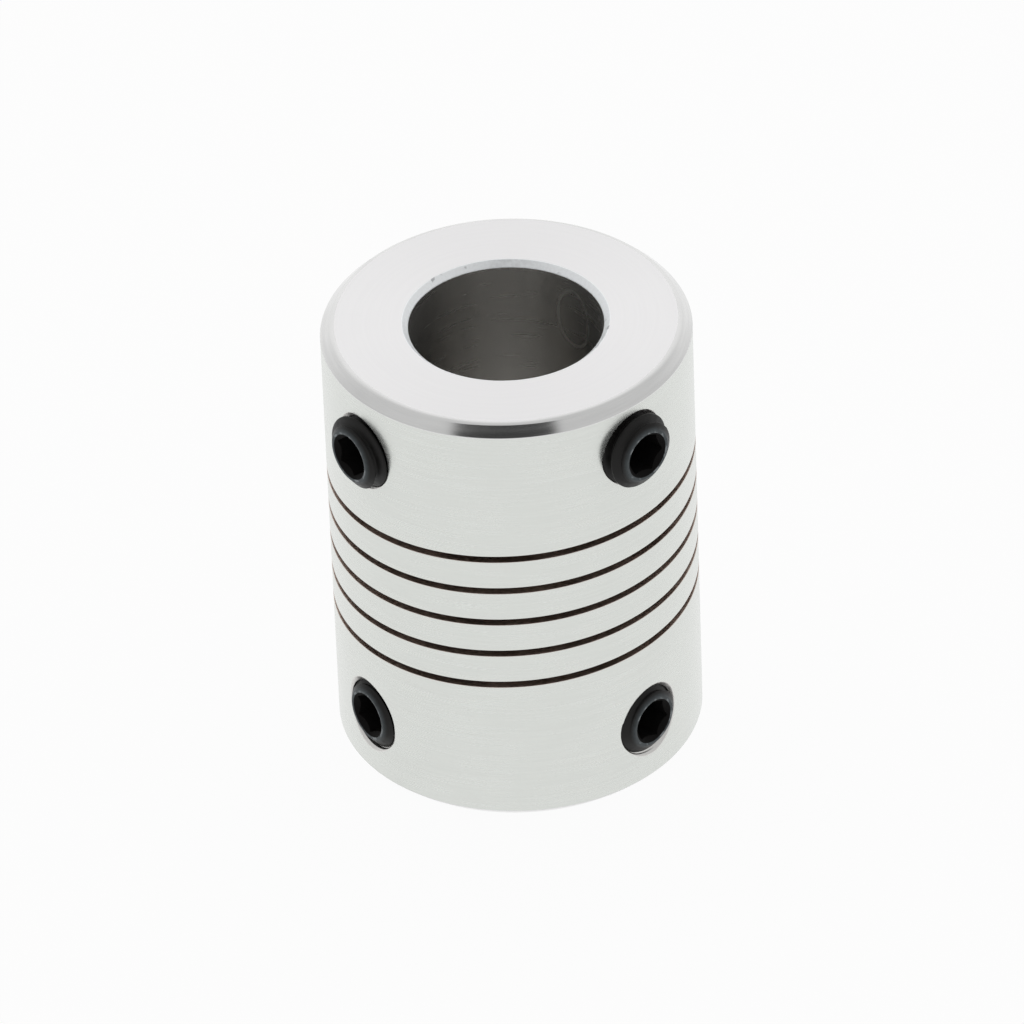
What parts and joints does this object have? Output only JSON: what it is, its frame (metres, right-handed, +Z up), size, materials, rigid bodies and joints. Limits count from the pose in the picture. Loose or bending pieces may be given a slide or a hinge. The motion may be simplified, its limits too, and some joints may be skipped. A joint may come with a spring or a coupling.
{
  "type": "shaft coupling",
  "caption": "One-piece aluminium shaft coupling with a helical slit through its wall, a plain through bore and cup-point set screws in both hubs.",
  "frame": {"origin": "centre of the lower end face, on the bore's axis", "axes": "+Z up the bore's axis, -Y towards the side that has the set screws, +X to the right seen from there"},
  "size_m": [0.019, 0.019, 0.025],
  "materials": {
    "aluminium": "fine turned, satin",
    "black_steel": "black oxide"
  },
  "bodies": {
    "root": {"coupling_body": "aluminium", "set_screw_top_left": "black_steel", "set_screw_top_right": "black_steel", "set_screw_bottom_left": "black_steel", "set_screw_bottom_right": "black_steel"}
  },
  "joints": []
}
